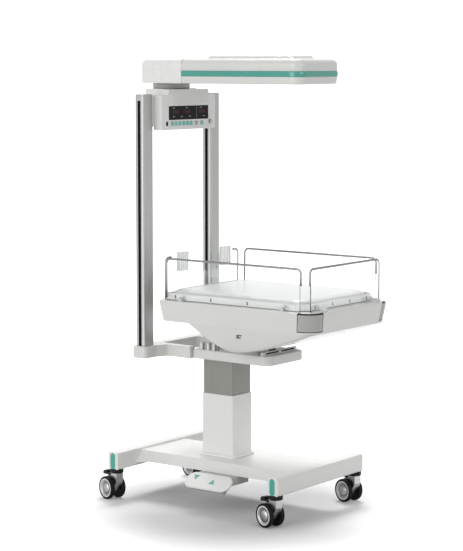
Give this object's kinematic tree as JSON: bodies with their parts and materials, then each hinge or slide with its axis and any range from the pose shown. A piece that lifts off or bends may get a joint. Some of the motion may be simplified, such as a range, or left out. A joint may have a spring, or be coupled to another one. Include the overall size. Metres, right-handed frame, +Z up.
{
  "type": "infant radiant warmer",
  "caption": "Rolling infant radiant warmer: lift column, tilting bed with fold-down clear guards, control panel and swivelling overhead heater.",
  "frame": {"origin": "on the floor under the middle of the whole machine's bounding box at rest", "axes": "+Z up, +X across the bed to the side away from the foot switch, -Y towards the open foot end of the bed"},
  "size_m": [0.6688, 1.1142, 1.897],
  "materials": {
    "white_paint": "smooth, slightly warm white powder coat",
    "white_plastic": "smooth warm white moulding",
    "teal_plastic": "glossy blue-green",
    "black_plastic": "satin black",
    "tyre_black": "matt black tread, silver-white hub faces in the render",
    "steel": "satin",
    "grey_plastic": "satin grey",
    "stage_grey": "satin dark grey",
    "aluminium": "satin anodised",
    "display_black": "glossy black",
    "reflector": "polished",
    "ceramic": "unglazed ceramic",
    "clear_acrylic": "clear",
    "chrome": "polished",
    "mattress_cover": "wipe-clean coated fabric",
    "tray_grey": "pale grey moulding"
  },
  "bodies": {
    "base": {"base_deck": "white_paint", "rail_front": "white_paint", "rail_rear": "white_paint", "lift_sleeve": "white_paint", "lift_drive": "steel", "foot_switch_housing": "white_plastic"},
    "lift_carriage": {"lift_inner_stage": "stage_grey", "yoke_box": "white_paint", "yoke_frame": "white_paint", "tilt_bracket": "steel", "upright_left": "aluminium", "upright_right": "aluminium", "crosshead": "white_paint", "panel_housing": "white_plastic", "display_window": "display_black"},
    "heater_head": {"swivel_disc": "grey_plastic", "head_rear_cover": "white_plastic", "canopy_top": "white_plastic", "canopy_band": "teal_plastic", "canopy_bottom": "white_plastic", "heater_reflector": "reflector", "heater_element": "ceramic", "heater_guard": "steel"},
    "bed": {"bed_hull": "white_plastic", "bed_belly": "white_plastic", "corner_insert_left": "grey_plastic", "corner_insert_right": "grey_plastic", "mattress_tray": "tray_grey", "mattress": "mattress_cover", "guard_pane_back": "clear_acrylic", "guard_rail_back_left": "chrome", "guard_rail_back_right": "chrome"},
    "foot_switch_rocker": {"foot_rocker": "white_plastic"},
    "guard_left": {"guard_pane_left": "clear_acrylic", "guard_rail_left": "chrome"},
    "guard_right": {"guard_pane_right": "clear_acrylic", "guard_rail_right": "chrome"},
    "guard_front": {"guard_pane_front": "clear_acrylic", "guard_rail_front": "chrome"},
    "caster_front_left": {"caster_fork_front_left": "steel"},
    "wheels_front_left": {"caster_wheels_front_left": "tyre_black"},
    "brake_front_left": {"brake_pedal_front_left": "black_plastic"},
    "caster_front_right": {"caster_fork_front_right": "steel"},
    "wheels_front_right": {"caster_wheels_front_right": "tyre_black"},
    "brake_front_right": {"brake_pedal_front_right": "black_plastic"},
    "caster_rear_left": {"caster_fork_rear_left": "steel"},
    "wheels_rear_left": {"caster_wheels_rear_left": "tyre_black"},
    "brake_rear_left": {"brake_pedal_rear_left": "black_plastic"},
    "caster_rear_right": {"caster_fork_rear_right": "steel"},
    "wheels_rear_right": {"caster_wheels_rear_right": "tyre_black"},
    "brake_rear_right": {"brake_pedal_rear_right": "black_plastic"},
    "mode_key_1": {"mode_key_1": "teal_plastic"},
    "mode_key_2": {"mode_key_2": "teal_plastic"},
    "mode_key_3": {"mode_key_3": "teal_plastic"},
    "mode_key_4": {"mode_key_4": "teal_plastic"},
    "mode_key_5": {"mode_key_5": "teal_plastic"},
    "mode_key_6": {"mode_key_6": "teal_plastic"},
    "silence_key": {"silence_key": "grey_plastic"},
    "start_key": {"start_key": "teal_plastic"},
    "selector_knob": {"selector_knob": "steel"}
  },
  "joints": [
    {"name": "lift_slide", "type": "slide", "parent": "base", "child": "lift_carriage", "axis": [0, 0, 1], "range_m": [-0.12, 0.08]},
    {"name": "head_swivel", "type": "hinge", "parent": "lift_carriage", "child": "heater_head", "pos_m": [-0.00944, 0.38838, 1.7573], "axis": [0, 0, 1], "range_deg": [-90, 90]},
    {"name": "bed_tilt", "type": "hinge", "parent": "lift_carriage", "child": "bed", "pos_m": [-0.00944, -0.12112, 0.8], "axis": [1, 0, 0], "range_deg": [-12, 12]},
    {"name": "guard_left_fold", "type": "hinge", "parent": "bed", "child": "guard_left", "pos_m": [-0.29344, 0.19689, 0.8933], "axis": [0, -1, 0], "range_deg": [0, 170]},
    {"name": "guard_right_fold", "type": "hinge", "parent": "bed", "child": "guard_right", "pos_m": [0.27456, 0.19689, 0.8933], "axis": [0, 1, 0], "range_deg": [0, 170]},
    {"name": "guard_front_fold", "type": "hinge", "parent": "bed", "child": "guard_front", "pos_m": [-0.00944, -0.55012, 0.8933], "axis": [1, 0, 0], "range_deg": [0, 170]},
    {"name": "foot_rocker_tip", "type": "hinge", "parent": "base", "child": "foot_switch_rocker", "pos_m": [-0.23544, 0.00988, 0.121], "axis": [0.788, 0, 0.6157], "range_deg": [-4, 4], "stiffness_Nm_per_rad": 8},
    {"name": "swivel_front_left", "type": "hinge", "parent": "base", "child": "caster_front_left", "pos_m": [-0.29544, -0.37711, 0], "axis": [0, 0, 1], "continuous": true},
    {"name": "roll_front_left", "type": "hinge", "parent": "caster_front_left", "child": "wheels_front_left", "pos_m": [-0.286, -0.34237, 0.04957], "axis": [0.965, -0.2622, 0], "continuous": true},
    {"name": "brake_front_left_press", "type": "hinge", "parent": "caster_front_left", "child": "brake_front_left", "pos_m": [-0.28731, -0.3472, 0.1087], "axis": [0.965, -0.2622, 0], "range_deg": [-10, 0]},
    {"name": "swivel_front_right", "type": "hinge", "parent": "base", "child": "caster_front_right", "pos_m": [0.27656, -0.37711, 0], "axis": [0, 0, 1], "continuous": true},
    {"name": "roll_front_right", "type": "hinge", "parent": "caster_front_right", "child": "wheels_front_right", "pos_m": [0.286, -0.34237, 0.04957], "axis": [0.965, -0.2622, 0], "continuous": true},
    {"name": "brake_front_right_press", "type": "hinge", "parent": "caster_front_right", "child": "brake_front_right", "pos_m": [0.28469, -0.3472, 0.1087], "axis": [0.965, -0.2622, 0], "range_deg": [-10, 0]},
    {"name": "swivel_rear_left", "type": "hinge", "parent": "base", "child": "caster_rear_left", "pos_m": [-0.29544, 0.46488, 0], "axis": [0, 0, 1], "continuous": true},
    {"name": "roll_rear_left", "type": "hinge", "parent": "caster_rear_left", "child": "wheels_rear_left", "pos_m": [-0.286, 0.49962, 0.04957], "axis": [0.965, -0.2622, 0], "continuous": true},
    {"name": "brake_rear_left_press", "type": "hinge", "parent": "caster_rear_left", "child": "brake_rear_left", "pos_m": [-0.28731, 0.4948, 0.1087], "axis": [0.965, -0.2622, 0], "range_deg": [-10, 0]},
    {"name": "swivel_rear_right", "type": "hinge", "parent": "base", "child": "caster_rear_right", "pos_m": [0.27656, 0.46488, 0], "axis": [0, 0, 1], "continuous": true},
    {"name": "roll_rear_right", "type": "hinge", "parent": "caster_rear_right", "child": "wheels_rear_right", "pos_m": [0.286, 0.49962, 0.04957], "axis": [0.965, -0.2622, 0], "continuous": true},
    {"name": "brake_rear_right_press", "type": "hinge", "parent": "caster_rear_right", "child": "brake_rear_right", "pos_m": [0.28469, 0.4948, 0.1087], "axis": [0.965, -0.2622, 0], "range_deg": [-10, 0]},
    {"name": "mode_key_1_press", "type": "slide", "parent": "lift_carriage", "child": "mode_key_1", "axis": [0, 1, 0], "range_m": [0, 0.001], "stiffness_N_per_m": 300},
    {"name": "mode_key_2_press", "type": "slide", "parent": "lift_carriage", "child": "mode_key_2", "axis": [0, 1, 0], "range_m": [0, 0.001], "stiffness_N_per_m": 300},
    {"name": "mode_key_3_press", "type": "slide", "parent": "lift_carriage", "child": "mode_key_3", "axis": [0, 1, 0], "range_m": [0, 0.001], "stiffness_N_per_m": 300},
    {"name": "mode_key_4_press", "type": "slide", "parent": "lift_carriage", "child": "mode_key_4", "axis": [0, 1, 0], "range_m": [0, 0.001], "stiffness_N_per_m": 300},
    {"name": "mode_key_5_press", "type": "slide", "parent": "lift_carriage", "child": "mode_key_5", "axis": [0, 1, 0], "range_m": [0, 0.001], "stiffness_N_per_m": 300},
    {"name": "mode_key_6_press", "type": "slide", "parent": "lift_carriage", "child": "mode_key_6", "axis": [0, 1, 0], "range_m": [0, 0.001], "stiffness_N_per_m": 300},
    {"name": "silence_key_press", "type": "slide", "parent": "lift_carriage", "child": "silence_key", "axis": [0, 1, 0], "range_m": [0, 0.001], "stiffness_N_per_m": 300},
    {"name": "start_key_press", "type": "slide", "parent": "lift_carriage", "child": "start_key", "axis": [0, 1, 0], "range_m": [0, 0.001], "stiffness_N_per_m": 300},
    {"name": "selector_turn", "type": "hinge", "parent": "lift_carriage", "child": "selector_knob", "pos_m": [0.13756, 0.29289, 1.615], "axis": [0, -1, 0], "range_deg": [-60, 60]}
  ]
}
